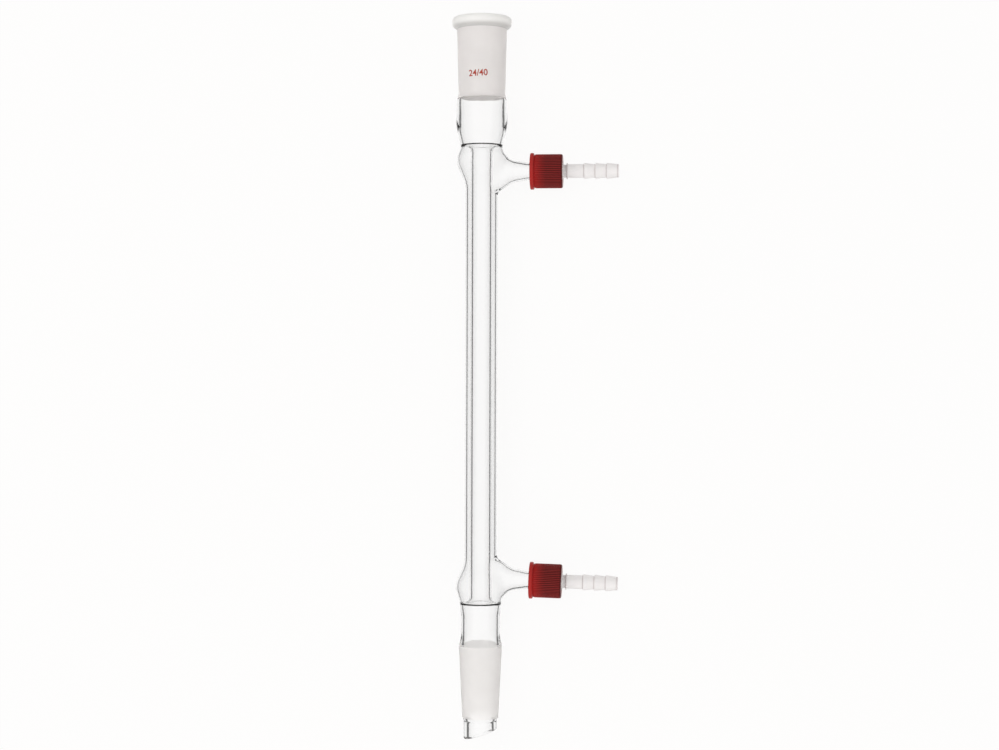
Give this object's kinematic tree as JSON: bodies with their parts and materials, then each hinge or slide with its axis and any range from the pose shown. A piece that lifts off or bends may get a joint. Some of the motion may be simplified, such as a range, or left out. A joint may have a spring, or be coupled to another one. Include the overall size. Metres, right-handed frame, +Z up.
{
  "type": "straight condenser",
  "caption": "Slim straight glass condenser with a jacketed inner tube, ground socket above, ground cone and drip tip below, and side arms with screw caps and hose tails.",
  "frame": {"origin": "on the bench, under the middle of the condenser as it lies", "axes": "+Z up; +Y along the condenser from the drip tip to the socket, the axis rising by half a degree on its rim; +X to the side of the arms"},
  "size_m": [0.0926, 0.4004, 0.033],
  "materials": {
    "glass": "clear borosilicate glass, ground matt on the two joints",
    "red_cap": "moulded red plastic, satin gloss",
    "white_plastic": "translucent milky plastic",
    "silicone": "soft translucent silicone"
  },
  "bodies": {
    "glass": {"glass_body": "glass"},
    "upper_connector": {"upper_hose_connector": "white_plastic", "upper_seal": "silicone"},
    "upper_cap": {"upper_cap": "red_cap"},
    "lower_connector": {"lower_hose_connector": "white_plastic", "lower_seal": "silicone"},
    "lower_cap": {"lower_cap": "red_cap"}
  },
  "joints": [
    {"name": "upper_connector_slide", "type": "slide", "parent": "glass", "child": "upper_connector", "axis": [0.9948, 0.0009, -0.1019], "range_m": [0, 0.0075]},
    {"name": "upper_cap_turn", "type": "hinge", "parent": "upper_connector", "child": "upper_cap", "pos_m": [0.01508, 0.11468, 0.0112], "axis": [0.9948, 0.0009, -0.1019], "range_deg": [0, 1080]},
    {"name": "lower_connector_slide", "type": "slide", "parent": "glass", "child": "lower_connector", "axis": [0.9944, -0.0271, -0.1021], "range_m": [0, 0.0075]},
    {"name": "lower_cap_turn", "type": "hinge", "parent": "lower_connector", "child": "lower_cap", "pos_m": [0.01506, -0.11238, 0.00928], "axis": [0.9944, -0.0271, -0.1021], "range_deg": [0, 1080]}
  ],
  "couplings": [
    {"joint": "upper_connector_slide", "follows": "upper_cap_turn", "m_per_rad": 0.00039788},
    {"joint": "lower_connector_slide", "follows": "lower_cap_turn", "m_per_rad": 0.00039788}
  ]
}
